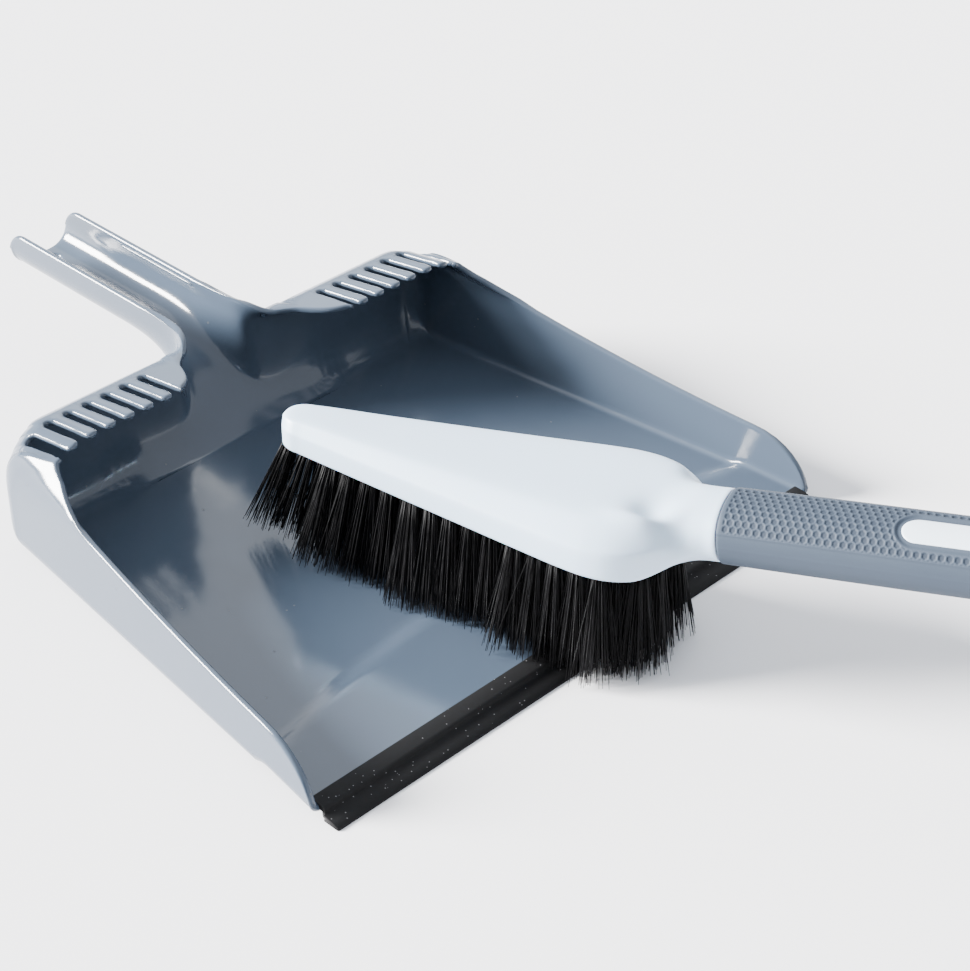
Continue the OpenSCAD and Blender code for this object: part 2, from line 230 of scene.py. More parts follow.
# flare and rail
RAIL_X, RAIL_Z, CHAN_Z, CHAN_X, CHAN_R = 14.7, 53.0, 35.5, 1.5, 12.0
FLARE_END = 244.0
ft = np.linspace(0, 1, 26)[1:]
flare_foot = bezier([rear_foot[-1], [24.0, 205.0], [13.0, 212.0], [3.5, 227.0], [CHAN_X, FLARE_END]], ft)
flare_foot_z = FLOOR_Z + (CHAN_Z - FLOOR_Z) * smoothstep((flare_foot[:, 1] - 199.5) / 40.0)
flare_wall = bezier([rear_wall[-1], [18.5, LENGTH - T], [RAIL_X, LENGTH - T], [RAIL_X, 217.0],
                     [RAIL_X, FLARE_END]], ft)
flare_rim = bezier([rear_rim[-1], [26.5, 206.0], [17.5, 208.0], [RAIL_X, 211.0], [RAIL_X, FLARE_END]], ft)
to_rail = smoothstep((ft - 0.25) / 0.45)
flare_rim_z = (HOOD_Z - HOOD_FALL * (flare_rim[:, 1] - HOOD_Y)) * (1 - to_rail) + RAIL_Z * to_rail
rail_y = np.r_[np.arange(248, 319, 4.0), np.arange(320.2, 330.2, 0.8), 331.3, 332.3, 333.1, 333.7, 333.95]
n_r = len(rail_y)
rail_foot = np.c_[np.full(n_r, CHAN_X), rail_y]
rail_wall = np.c_[np.full(n_r, RAIL_X), rail_y]
rail_top = RAIL_Z - 10 + 10 * np.sqrt(1 - (np.maximum(0, rail_y - 324) / 10) ** 2)

foot = np.r_[side_foot, corner_foot, rear_foot, flare_foot, rail_foot]
wall = np.r_[side_wall, corner_wall, rear_wall, flare_wall, rail_wall]
rim = np.r_[side_rim, corner_rim, rear_rim, flare_rim, rail_wall]
rim_z = np.r_[side_rim_z, corner_rim_z, rear_rim_z, flare_rim_z, rail_top]
nA, nB, nC, nD, nE = len(side_foot), len(corner_foot), len(rear_foot), len(flare_foot), n_r
foot_z = np.r_[floor_height(side_foot[:, 0], side_foot[:, 1]), np.full(nB + nC, FLOOR_Z), flare_foot_z,
               np.full(nE, CHAN_Z)]
climb = np.gradient(flare_foot_z, flare_foot[:, 1])
foot_slope = np.r_[np.zeros(nA + nB + nC), climb, np.zeros(nE)]
print("lines", nA, nB, nC, nD, nE)

# %% [markdown]
# One line climbs from the foot: a quarter of an ellipse, a straight wall, then a rounded corner on to a
# straight shoulder that ends at the rim. It is drawn finely and then resampled by its length, so that
# the last points lie very close to the rim, where the sheet's edge is rounded, and around the slots' ends.

# %% The wall lines
n_u = len(foot)
part = np.r_[np.full(nA, 0), np.full(nB, 1), np.full(nC, 2), np.full(nD, 3), np.full(nE, 4)]
u_corner = smoothstep(np.interp(np.arange(n_u), [nA, nA + nB + 6], [0, 1]))  # 0 side, 1 rear
foot_b = np.where(part <= 2, FOOT_SIDE + (REAR_RISE - FOOT_SIDE) * u_corner, 0)
flare_b = REAR_RISE + (CHAN_R - REAR_RISE) * smoothstep(ft * 1.1)
foot_b[part == 3] = flare_b
foot_b[part == 4] = CHAN_R
lean = np.linalg.norm(rim - wall, axis=1)  # how far the shoulder leans in
shoulder_drop = 0.17 * lean * np.where(part == 2, 1, 0.6)
corner_z = rim_z - shoulder_drop
foot_b = np.minimum(foot_b, (corner_z - foot_z) * 0.86)
bend = np.interp(np.arange(n_u), [nA - 14, nA, nA + nB + 6, nA + nB + 24], [15.0, 22.0, 18.0, 9.0])
bend = np.minimum(bend, 0.9 * (corner_z - foot_z - foot_b))
bend = np.minimum(bend, lean * 0.8)

def wall_lines(n=60):
    """(lines, points, 3): ellipse quarter, wall, rounded corner as a quadratic curve, straight shoulder."""
    q = np.linspace(0, 1, n)
    a = q * np.pi / 2
    w3, f3 = np.c_[wall, foot_z + foot_b], np.c_[foot, foot_z]
    e = np.empty((n_u, n, 3))
    e[:, :, :2] = f3[:, None, :2] + (w3 - f3)[:, None, :2] * np.sin(a)[None, :, None]
    e[:, :, 2] = f3[:, None, 2] + foot_b[:, None] * ((1 - np.cos(a)) ** 1.25)[None]
    # where the foot itself climbs, the line leaves it at the same slope
    e[:, :, 2] += (foot_slope * (wall - foot)[:, 1])[:, None] * (np.sin(a) * (1 - q) ** 2)[None]
    c = np.c_[wall, corner_z]
    h = np.c_[rim, rim_z]
    d = h - c
    d /= np.maximum(np.linalg.norm(d, axis=1), 1e-6)[:, None]
    p0 = c - np.c_[np.zeros((n_u, 2)), bend]
    p2 = c + d * bend[:, None]
    t = q[None, :, None]
    straight = w3[:, None] * (1 - t) + p0[:, None] * t
    rounded = p0[:, None] * (1 - t) ** 2 + 2 * c[:, None] * t * (1 - t) + p2[:, None] * t ** 2
    last = p2[:, None] * (1 - t) + h[:, None] * t
    return np.concatenate([e, straight[:, 1:], rounded[:, 1:], last[:, 1:]], 1)

def resample(lines, s_want):
    """Points at given distances along each polyline, by linear blending between its stored points."""
    seg = np.linalg.norm(np.diff(lines, axis=1), axis=2)
    s = np.c_[np.zeros(len(lines)), np.cumsum(seg + 1e-9, 1)]
    idx = np.stack([np.searchsorted(s[k], s_want[k]) for k in range(len(lines))])
    idx = np.clip(idx, 1, lines.shape[1] - 1)
    s0, s1 = np.take_along_axis(s, idx - 1, 1), np.take_along_axis(s, idx, 1)
    w = ((s_want - s0) / (s1 - s0)).clip(0, 1)[..., None]
    p0 = np.take_along_axis(lines, (idx - 1)[..., None].repeat(3, 2), 1)
    p1 = np.take_along_axis(lines, idx[..., None].repeat(3, 2), 1)
    return p0 * (1 - w) + p1 * w

dense = wall_lines()
total = np.linalg.norm(np.diff(dense, axis=1), axis=2).sum(1)
# distances back from the rim: rounded edge, comb, slot end with its rounded edge
slot_back, comb_back, rest_n = 22.5, 27.5, 27
from_rim = np.r_[EDGE, 2.4, 4.5, 7.5, 11, 14.5, 18, 20.5, slot_back, slot_back + EDGE[1:], 25.4, comb_back]
below_comb = (np.maximum(total, 30) - comb_back)[:, None] * np.linspace(0, 1, rest_n + 1)[None, 1:]
rear_s = np.concatenate([from_rim[None].repeat(n_u, 0), comb_back + below_comb], 1)
n_v = rear_s.shape[1]
shrink = np.minimum(1, total / 12)[:, None]  # short lines have a finer edge
below_edge = (total[:, None] - EDGE[-1] * shrink) * np.linspace(0, 1, n_v - 4)[None, 1:]
even = np.concatenate([EDGE[None].repeat(n_u, 0) * shrink, EDGE[-1] * shrink + below_edge], 1)
into_flare = smoothstep((np.arange(n_u) - (nA + nB + nC)) / 14)
blend = np.select([part == 1, part == 2, part == 3], [u_corner, 1.0, 1 - into_flare], 0.0)[:, None]
back = rear_s * blend + even * (1 - blend)
back = np.minimum(back, total[:, None])
sheet = resample(dense, (total[:, None] - back))[:, ::-1]  # from foot to rim
print("wall lines", sheet.shape, "longest", total.max().round(1))

# %% [markdown]
# The comb: fingers of the hood with open slots between them, which pull hairs out of the bristles. A
# slot is cut by leaving out the faces between two columns. Its closed end is bent into a half circle,
# and the fingers' tips are rounded, by sliding points along their own line.

# %% Round the slots' ends and the fingers' tips
hood = part == 2
off = np.abs(rx[:, None] - SLOTS[None]).min(1)  # distance from the nearest slot's middle
in_slot = off <= SLOT_R + 1e-6
bulge = np.where(in_slot, np.sqrt(np.maximum(SLOT_R ** 2 - off ** 2, 0)), 0)
finger = (rx > SLOTS[0] + SLOT_R) & (rx < SLOTS[-1] - SLOT_R) & ~in_slot
mid_off = np.abs(off - SLOT_PITCH / 2)  # distance from the finger's middle
tip = np.where(finger, TIP_R - np.sqrt(np.maximum(TIP_R ** 2 - np.maximum(0, mid_off - 0.2) ** 2, 0)), 0)
tip = np.where(in_slot, TIP_R, tip)
sb = back[hood]
grow = np.clip((comb_back - sb) / (comb_back - slot_back - EDGE[-1]), 0, 1) * (sb > slot_back - 1e-6)
bulge_s = bulge[:, None] * np.where(sb < slot_back - 1e-6, 0, grow)
tip_s = tip[:, None] * np.clip(1 - sb / 9.0, 0, 1)
new_back = np.minimum(sb + bulge_s + tip_s, total[hood][:, None])
sheet[hood] = resample(dense[hood], total[hood][:, None] - new_back)[:, ::-1]

# %% [markdown]
# The floor joins on: rows across the pan share the foot curve's points with the walls, and a narrower
# strip carries on from the rear row, up through the throat and out along the channel. The two
# halves mirror each other, so the left half reuses the right half's numbers.

# %% Floor rows, numbered together with the walls
N_MID = 15  # columns between the channel's two feet
mid_t = np.linspace(-1, 1, N_MID)
floor_rows_y = np.r_[side_foot[:, 1], corner_foot[:, 1], FOOT_BACK]
floor_rows_w = np.r_[side_foot[:, 0], corner_foot[:, 0], REAR_FOOT]
col_frac = np.r_[-rear_foot[:-1, 0], mid_t * rear_foot[-1, 0], rear_foot[:-1, 0][::-1]] / REAR_FOOT
fx = floor_rows_w[:, None] * col_frac[None]
fy = np.repeat(floor_rows_y[:, None], len(col_frac), 1)
pan_floor = np.stack([fx, fy, floor_height(fx, fy)], -1)
# the channel's strip
strip_y = np.r_[flare_foot[:, 1], rail_foot[:, 1]]
strip_w = np.r_[flare_foot[:, 0], rail_foot[:, 0]]
strip_z = np.r_[flare_foot_z, foot_z[-nE:]]
sx = strip_w[:, None] * mid_t[None]
strip = np.stack([sx, np.repeat(strip_y[:, None], N_MID, 1), np.repeat(strip_z[:, None], N_MID, 1)], -1)

nr, nc = pan_floor.shape[:2]
ns = len(strip_y)
v_floor = np.arange(nr * nc).reshape(nr, nc)
v_strip = nr * nc + np.arange(ns * N_MID).reshape(ns, N_MID)
n_flat = nr * nc + ns * N_MID
c_left = nC - 1  # column where the channel's strip starts
last = v_floor[-1]
strip_grid = np.vstack([last[c_left:c_left + N_MID], v_strip])
right_foot = np.r_[v_floor[:-1, -1], last[::-1][:nC], v_strip[:, -1]]
left_foot = np.r_[v_floor[:-1, 0], last[:nC], v_strip[:, 0]]
n_w = n_u * (n_v - 1)
w_right = np.c_[right_foot, n_flat + np.arange(n_w).reshape(n_u, n_v - 1)]
w_left = np.c_[left_foot, n_flat + n_w + np.arange(n_w).reshape(n_u, n_v - 1)]
right_pts = sheet[:, 1:].reshape(-1, 3)
left_pts = right_pts * [-1, 1, 1]
middle = np.vstack([pan_floor.reshape(-1, 3), strip.reshape(-1, 3), right_pts, left_pts])

def quads(ids, flip=False):
    """Faces of a grid of point numbers."""
    q = np.stack([ids[:-1, :-1], ids[:-1, 1:], ids[1:, 1:], ids[1:, :-1]], -1)
    return q[..., ::-1] if flip else q

# a face between two slot columns is left out as far as the slot's end
cut = np.zeros((n_u - 1, n_v - 1), bool)
h0 = nA + nB
both = in_slot[:-1] & in_slot[1:] & (np.abs(np.diff(rx)) < 1.0)
to_end = back[h0, ::-1][1:] <= slot_back + 1e-6
cut[h0:h0 + nC - 1] = both[:, None] & to_end[None]
qr = quads(w_right)[~cut]
ql = quads(w_left, True)[~cut]
mid_faces = np.vstack([quads(v_floor).reshape(-1, 4), quads(strip_grid).reshape(-1, 4), qr, ql])

def edges(f):
    """Both ends of every face's four edges, the smaller number first."""
    return np.sort(np.concatenate([f[:, [0, 1]], f[:, [1, 2]], f[:, [2, 3]], f[:, [3, 0]]]), 1)

def open_points(f, count):
    """True for points on an edge that only one face uses."""
    e = edges(f)
    key = e[:, 0].astype(np.int64) * count + e[:, 1]
    uniq, num = np.unique(key, return_counts=True)
    lone = uniq[num == 1]
    flag = np.zeros(count, bool)
    flag[(lone // count).astype(int)] = True
    flag[(lone % count).astype(int)] = True
    return flag

def relax(p, f, share, times):
    """Each point moves towards the mean of its neighbours, again and again: p + share (mean - p) / 2."""
    a, b = np.unique(edges(f), axis=0).T
    num = np.bincount(np.r_[a, b], minlength=len(p))[:, None]
    for _ in range(times):
        total_p = np.stack([np.bincount(a, p[b, k], len(p)) + np.bincount(b, p[a, k], len(p))
                            for k in range(3)], 1)
        p = p + 0.5 * share[:, None] * (total_p / np.maximum(num, 1) - p)
    return p

# soften the throat, where floor, rear wall and channel meet
rim_point = open_points(mid_faces, len(middle))
mx, my, mz = middle.T
throat_share = (smoothstep((66 - np.abs(mx)) / 26) * smoothstep((my - FOOT_BACK) / 5)
                * smoothstep((262 - my) / 14) * smoothstep((46 - mz) / 10))
free = ~rim_point & (np.arange(len(middle)) >= nr * nc)
middle = relax(middle, mid_faces, throat_share * free, 90)

# a hole to hang the pan by: leave out the faces inside it and bring the edge on to the circle
HANG_Y, HANG_R = 325.0, 3.0

def near_hole(p, radius):
    """True for points of the channel's floor within a radius of the hole's axis."""
    return (np.hypot(p[:, 0], p[:, 1] - HANG_Y) < radius) & (p[:, 2] < CHAN_Z + 3.5)

mid_faces = mid_faces[~near_hole(middle[mid_faces].mean(1), HANG_R)]
ring = open_points(mid_faces, len(middle)) & near_hole(middle, HANG_R + 1.5)
around_hole = middle[ring, :2] - [0, HANG_Y]
middle[ring, :2] = [0, HANG_Y] + around_hole * (HANG_R / np.linalg.norm(around_hole, axis=1))[:, None]
print("middle surface", len(middle), "points", len(mid_faces), "faces")

# %% [markdown]
# Thickness: each point moves out to both sides along the surface's normal. Close to an open edge the
# distance shrinks as a half circle does, so every rim, finger and slot ends in a full round like the
# real moulding, and the two skins meet there in one shared point.

# %% Give the sheet its thickness
def point_normals(p, f):
    """Normal at each point: the sum of the normals of its faces, scaled to length one."""
    n = np.cross(p[f[:, 2]] - p[f[:, 0]], p[f[:, 3]] - p[f[:, 1]])
    out = np.zeros_like(p)
    for k in range(4):
        np.add.at(out, f[:, k], n)
    return out / np.maximum(np.linalg.norm(out, axis=1), 1e-12)[:, None]

normal = point_normals(middle, mid_faces)
edge_pts = open_points(mid_faces, len(middle))
tree = kdtree.KDTree(int(edge_pts.sum()))
for k in np.flatnonzero(edge_pts):
    tree.insert(middle[k], int(k))
tree.balance()
near_edge = np.array([tree.find(p)[2] for p in middle])
near_edge[edge_pts] = 0
r = np.clip(near_edge / T, 0, 1)
h = T * np.sqrt(np.maximum(1 - (1 - r) ** 2, 0))
up, down = middle + normal * h[:, None], middle - normal * h[:, None]
down[:, 2] = np.maximum(down[:, 2], 0.15)
n_m = len(middle)
lower = np.where(edge_pts, np.arange(n_m), n_m + np.arange(n_m))
pan_pts = np.vstack([up, down])
pan_faces = np.vstack([mid_faces, lower[mid_faces][:, ::-1]])
used = np.zeros(len(pan_pts), bool)
used[pan_faces.ravel()] = True
renum = np.cumsum(used) - 1
pan_pts, pan_faces = pan_pts[used], renum[pan_faces]
print("pan", len(pan_pts), "points", 2 * len(pan_faces), "triangles; edge points", int(edge_pts.sum()))

# %% [markdown]
# The brush has its own directions: s runs from the nose along the head to the handle, t across it and
# z up from its underside. The head is one lofted skin: at every station along s a cross-section is
# drawn as a closed loop, and the loops change smoothly from a low crowned D shape to the oval neck.

# %% Place of the brush, and a smooth curve through given values
TURN, NOSE, HEAD_Z = math.radians(-68.8), np.array([-32.9, 127.7]), 47.0
GRIP_S, GRIP_Z, LEAN = 165.5, 13.0, math.radians(7.6)

def from_brush(s, t, z):
    """Brush directions to the pan's millimetres: a turn about the upright axis and a shift."""
    c, n = math.cos(TURN), math.sin(TURN)
    return np.stack([NOSE[0] + s * c - t * n, NOSE[1] + s * n + t * c, HEAD_Z + z], -1)

def from_handle(l, t, n):
    """Handle directions (along, across, outwards on top) to the pan's millimetres."""
    return from_brush(GRIP_S + l * math.cos(LEAN) - n * math.sin(LEAN), t,
                      GRIP_Z + l * math.sin(LEAN) + n * math.cos(LEAN))

def curve_through(xs, ys, x):
    """Cubic Hermite curve through points; each slope is the mean slope of its two neighbours."""
    xs, ys = np.asarray(xs, float), np.asarray(ys, float)
    m = np.gradient(ys, xs)
    k = np.clip(np.searchsorted(xs, x, side="right") - 1, 0, len(xs) - 2)
    w = xs[k + 1] - xs[k]
    u = (x - xs[k]) / w
    return ((2 * u ** 3 - 3 * u ** 2 + 1) * ys[k] + (u ** 3 - 2 * u ** 2 + u) * w * m[k]
            + (-2 * u ** 3 + 3 * u ** 2) * ys[k + 1] + (u ** 3 - u ** 2) * w * m[k + 1])

NOSE_R, AHEAD = 9.5, 4.8  # radius of the nose; how far the neck's end lies along the handle

def nose_lift(s):
    """The underside rises towards the nose: 4.6 mm times (1 - s / 150) to the power 1.2."""
    return 4.6 * np.clip(1 - s / 150.0, 0, 1.1) ** 1.2

def head_half_width(s):
    """Half a circle at the nose, then a curve that widens evenly and turns in to the neck."""
    body = curve_through([0, 20, 50, 80, 100, 114, 124, 132, 139, 145, 150, 155, 160, 166],
                         [9.5, 13.4, 19.2, 25.0, 28.9, 31.5, 32.6, 31.8, 29.0, 25.0, 20.6, 16.7, 14.9, 14.6],
                         np.maximum(s, 0))
    return np.where(s < 0, np.sqrt(np.maximum(NOSE_R ** 2 - s ** 2, 0)), body)

def head_top(s):
    """The crown climbs slowly from the nose to the neck."""
    return curve_through([-9.5, 0, 30, 80, 120, 138, 150, 158, 166],
                         [11.6, 12.6, 14.4, 17.6, 20.2, 21.2, 22.2, 23.4, 24.6], s)

# %% [markdown]
# The cross-section's upper part is a superellipse, a squarer cousin of the ellipse, which gives the flat
# crown and the broad soft bevel. A short upright band and a small round lead to the underside. Two soft
# dents beside the neck are pushed in afterwards with a bell curve.

# %% The head's skin
NECK_W, NECK_H = 14.7, 11.5
nose_s = -NOSE_R * np.cos(np.radians([0, 4, 8, 13, 19, 26, 34, 43, 52, 62, 72, 82]))
st = np.r_[nose_s, np.arange(0, 120, 3.0), np.arange(120, 165.1, 1.25)]  # stations along the head
n_top, n_low = 61, 40
phi = np.linspace(0, np.pi, n_top)
cphi, sphi = np.cos(phi), np.sin(phi)
w, top = head_half_width(st)[:, None], head_top(st)[:, None]
crush = np.clip(w / NOSE_R, 0, 1)  # the nose's crown sinks with its width
band = 4.2
sup_t = np.sign(cphi) * np.abs(cphi) ** 0.62
squarish = np.maximum(sphi, 0) ** 0.55
bevel = 1.0 - 1.75 * np.maximum(0, np.abs(sup_t) - 0.66)  # a sloping band along both sides
sup_z = -0.035 * np.logaddexp(-squarish / 0.035, -bevel / 0.035) + 0.024 * squarish
sup_z = np.maximum(sup_z, 0)
t_top = w * sup_t[None]
z_top = band + (top - band) * (1 - (1 - crush) ** 2 * 0.35) * sup_z[None]
low_side = np.array([1, 1, 1, 0.985, 0.95])
low_rise = np.array([0.8, 0.45, 0.16, 0.04, 0])
low_t = w * -np.r_[low_side, np.linspace(0.88, -0.88, n_low - 10), -low_side[::-1]][None]
low_z = band * np.r_[low_rise, np.zeros(n_low - 10), low_rise[::-1]][None] + 0 * w
sec_t, sec_z = np.hstack([t_top, low_t]), np.hstack([z_top, low_z])
full = np.r_[phi, np.linspace(np.pi, 2 * np.pi, n_low + 2)[1:-1]]
zc = GRIP_Z + (st + AHEAD - GRIP_S) * math.tan(LEAN)
ov_t = NECK_W * np.sign(np.cos(full)) * np.abs(np.cos(full)) ** 0.9
ov_z = NECK_H * np.sign(np.sin(full)) * np.abs(np.sin(full)) ** 0.9
k = smoothstep((st - 139) / 20)[:, None]
scale_w = np.maximum(w, NECK_W) / NECK_W
sec_t = sec_t * (1 - k) + ov_t[None] * scale_w * k
sec_z = sec_z * (1 - k) + (zc[:, None] + ov_z[None]) * k
ss = np.repeat(st[:, None], sec_t.shape[1], 1)
on_top = np.clip((sec_z - 6) / 6, 0, 1)
# depth, place along and across, reach along and across; the last one swells
DENTS = ((3.0, 141, -11, 7, 6), (3.6, 154, -18, 7, 6), (2.8, 151, 16, 7, 6), (-1.6, 137, -19, 10, 4))
dent = sum(d * np.exp(-((ss - s0) / ls) ** 2 - ((sec_t - t0) / lt) ** 2) for d, s0, t0, ls, lt in DENTS)
sec_z -= dent * on_top
ss = ss - (sec_z - zc[:, None]) * math.tan(LEAN) * k
ring_n = sec_t.shape[1]
head_pts = from_brush(ss + AHEAD, sec_t, sec_z + nose_lift(ss))
# end of the neck: a small round, then a flat ring that stops short of the core
end = head_pts[-1]
axis_dir = from_handle(1.0, 0, 0) - from_handle(0.0, 0, 0)
centre = end.mean(0)
rings = [end + (centre - end) * f + axis_dir * d
         for f, d in ((0.012, 0.25), (0.035, 0.38), (0.08, 0.42), (0.44, 0.42))]
head_pts = np.concatenate([head_pts.reshape(-1, 3)] + rings)
n_ring = len(st) + len(rings)
head_faces = grid_faces(n_ring, ring_n, wrap=True)
# close the nose and the neck's end with one point each
head_pts = np.vstack([head_pts, head_pts[:ring_n].mean(0), head_pts[-ring_n:].mean(0)])
around_ring = np.arange(ring_n)
head_faces = [head_faces, fan(len(head_pts) - 2, around_ring, flip=True),
              fan(len(head_pts) - 1, (n_ring - 1) * ring_n + around_ring)]
print("head", len(head_pts), "points; widest", w.max().round(1), "mm to each side")

# %% [markdown]
# The grip is soft rubber moulded over the core. Its cross-section is an oval with a flatter top. Its
# upper side carries a honeycomb: six-sided dimples on a triangular lattice, which leave a raised net between
# them. The dimples are cut into the skin itself, so they catch light from every side. A smooth
# sunk border surrounds the badge, and the lower side is plain with the mould's parting line.

# %% Honeycomb and grip
GRIP_LEN, GRIP_W, GRIP_H = 134.0, 15.0, 11.9
BADGE_L, BADGE_R = (74.0, 114.0), 5.7
ROLL = 4.6  # the badge and the net sit a little round to the near side
PITCH = 2.8

def oval(angle, w_, h_, power=0.86):
    """Superellipse point for an angle measured from the +t side through the top."""
    c, s = np.cos(angle), np.sin(angle)
    return w_ * np.sign(c) * np.abs(c) ** power, h_ * np.sign(s) * np.abs(s) ** power

def stadium(l, a, l0, l1, r):
    """Distance outside a round-ended bar that lies along l from l0 to l1."""
    return np.hypot(l - np.clip(l, l0, l1), a) - r

def honeycomb(l, a):
    """Dimple depth 0..1: one inside a cell, zero on the net. The six-sided distance from a cell's middle
    is max(|x|, |x| / 2 + |y| sqrt(3) / 2); two shifted square lattices together give all cells."""
    row = PITCH * math.sqrt(3)
    def near(x, y):
        x, y = np.abs((x + PITCH / 2) % PITCH - PITCH / 2), np.abs((y + row / 2) % row - row / 2)
        return np.maximum(x, x / 2 + y * math.sqrt(3) / 2)
    r = np.minimum(near(l, a), near(l - PITCH / 2, a - row / 2))
    return smoothstep((PITCH / 2 - 0.12 - r) / 0.5)

# angles are spaced so that the upper side, which has the dimples, is fine
N_FINE = 150
fine = np.linspace(math.radians(-4), math.radians(184), N_FINE)
coarse = np.linspace(math.radians(184), math.radians(356), 38)[1:-1]
ang_g = np.r_[fine, coarse]
gt, gn = oval(ang_g, GRIP_W, GRIP_H)
step = np.hypot(np.diff(gt), np.diff(gn))
arc = np.r_[0, np.cumsum(step)]
arc -= np.interp(math.pi / 2, ang_g[:N_FINE], arc[:N_FINE])  # 0 on top, + towards -t side
start_l, end_l = AHEAD + np.array([0.35, 0.45, 0.7, 1.2]), GRIP_LEN - np.array([1.2, 0.5, 0.1, 0])
rows_l = np.r_[start_l, np.arange(AHEAD + 1.7, GRIP_LEN - 1.2, 0.29), end_l]
L, A = np.meshgrid(rows_l, arc, indexing="ij")
edge_round = np.interp(rows_l, np.r_[start_l, AHEAD + 2, end_l],
                       [-0.8, -0.45, -0.18, -0.02, 0, 0, -0.12, -0.4, -0.75])[:, None]
A0 = A - ROLL
around = stadium(L, A0, *BADGE_L, BADGE_R)
upper = smoothstep((11.4 - np.abs(A0)) / 0.5)
field = (upper * smoothstep((around - 2.6) / 0.6) * smoothstep((L - AHEAD - 2.2) / 0.8)
         * smoothstep((GRIP_LEN - 4 - L) / 0.8))
net = honeycomb(L, A0) * field
relief = 0.26 * smoothstep((12.3 - np.abs(A0)) / 0.7) - 0.34 * net
relief -= 0.75 * smoothstep((2.5 - around) / 1.5)  # sunk border of the badge
line = np.minimum(np.abs(np.abs(A0) - 17.0), 5)
relief += 0.14 * np.exp(-(line / 0.3) ** 2)
swell = 0.25 * np.sin(np.pi * np.clip(rows_l / GRIP_LEN, 0, 1))[:, None]
dn, dt = np.gradient(gn, arc), np.gradient(gt, arc)
nlen = np.hypot(dn, dt)
nt, nn = dn / nlen, -dt / nlen  # outward direction in the section
out = relief + edge_round + swell
sign = np.sign((nt * gt + nn * gn).mean())
grip_pts = from_handle(L, gt[None] + sign * nt[None] * out, gn[None] + sign * nn[None] * out)
g_rows, g_cols = grip_pts.shape[:2]
grip_pts = grip_pts.reshape(-1, 3)
END_IN = 0.62  # the ends close in to this share of the section, round the core
ends = [from_handle(np.full(g_cols, l), gt * END_IN, gn * END_IN) for l in (start_l[0], GRIP_LEN)]
grip_pts = np.vstack([ends[0], grip_pts, ends[1]])
grip_faces = grid_faces(g_rows + 2, g_cols, wrap=True)
print("grip", g_rows, "by", g_cols, "points; cells", PITCH, "mm apart")

# %% [markdown]
# The badge is a pale plate let into the top of the grip, left blank. The end cap closes the handle with
# a hole to hang the brush by. Its hole is part of the skin: the cap is drawn as rings around the hole
# that run out over the top, down the outside and back underneath.

# %% Badge and end cap
N_BADGE = 72
bu = np.linspace(0, 2 * np.pi, N_BADGE + 1)[:-1]
bm = (BADGE_L[0] + BADGE_L[1]) / 2
bl = np.where(np.cos(bu) > 0, BADGE_L[1], BADGE_L[0])

def badge_ring(f, lift):
    """A ring on the grip's skin: place along the skin's arc, then lift along its outward direction."""
    l, a = bm + (bl + BADGE_R * np.cos(bu) - bm) * f[0], ROLL + BADGE_R * np.sin(bu) * f[1]
    t_, n_, dt_n, dn_n = (np.interp(a, arc[:N_FINE], v[:N_FINE]) for v in (gt, gn, nt * sign, nn * sign))
    return from_handle(l, t_ + dt_n * lift, n_ + dn_n * lift)

SEAT = -1.55  # the badge's seat below the skin
# share of the outline along and across, and height above the seat
b_levels = [((0.97, 0.8), -0.6), ((1.0, 1.0), -0.6), ((1.0, 1.0), 1.35), ((0.996, 0.98), 1.52),
            ((0.985, 0.93), 1.62), ((0.96, 0.8), 1.68), ((0.7, 0.45), 1.74), ((0.3, 0.15), 1.75)]
badge_pts = np.vstack([badge_ring(f, SEAT + height) for f, height in b_levels])
badge_faces = grid_faces(len(b_levels), len(bu), wrap=True)
badge_pts = np.vstack([badge_pts, badge_pts[:N_BADGE].mean(0), badge_pts[-N_BADGE:].mean(0)])
q = np.arange(N_BADGE)
badge_faces = [badge_faces, fan(len(badge_pts) - 2, q, flip=True),
               fan(len(badge_pts) - 1, (len(b_levels) - 1) * N_BADGE + q)]

CAP_END, HOLE_L, HOLE_R, N_CAP = GRIP_LEN + 26.6, GRIP_LEN + 17.6, 4.0, 96
cu = np.linspace(0, 2 * np.pi, N_CAP + 1)[:-1]
# plan outline of the cap: straight sides and a round end, squarer where it meets the grip
cc, sc = np.cos(cu), np.sin(cu)
out_l = HOLE_L + np.where(cc > 0, 9.0 * cc, 17.0 * np.sign(cc) * np.abs(cc) ** 0.28)
out_t = 14.4 * np.sign(sc) * np.abs(sc) ** np.where(cc > 0, 0.95, 0.28)

def cap_half_height(l, t):
    """Oval roof over the plan, rounding down towards the end."""
    roof = 11.4 * np.maximum(1 - np.abs(t / 14.7) ** 2.32, 0) ** 0.43
    return roof * np.sqrt(np.maximum(1 - np.maximum(0, (l - CAP_END + 10) / 10.6) ** 2, 0.02))

fr = np.r_[0, 0.03, 0.09, 0.18, 0.3, 0.45, 0.6, 0.74, 0.85, 0.93, 0.98, 1.0]
hl, ht = HOLE_L + HOLE_R * cc, HOLE_R * sc
hole_z = cap_half_height(hl, ht)

def cap_side(up_):
    """Rings from the hole out to the outline, on top (1) or below (-1). Two of them round the edge."""
    rings = []
    for f, sink_ in zip(fr, [0.8, 0.25] + [0] * (len(fr) - 2)):
        l, t_ = hl + (out_l - hl) * f, ht + (out_t - ht) * f
        rings.append(from_handle(l, t_, cap_half_height(l, t_) * up_ - up_ * sink_))
    return rings

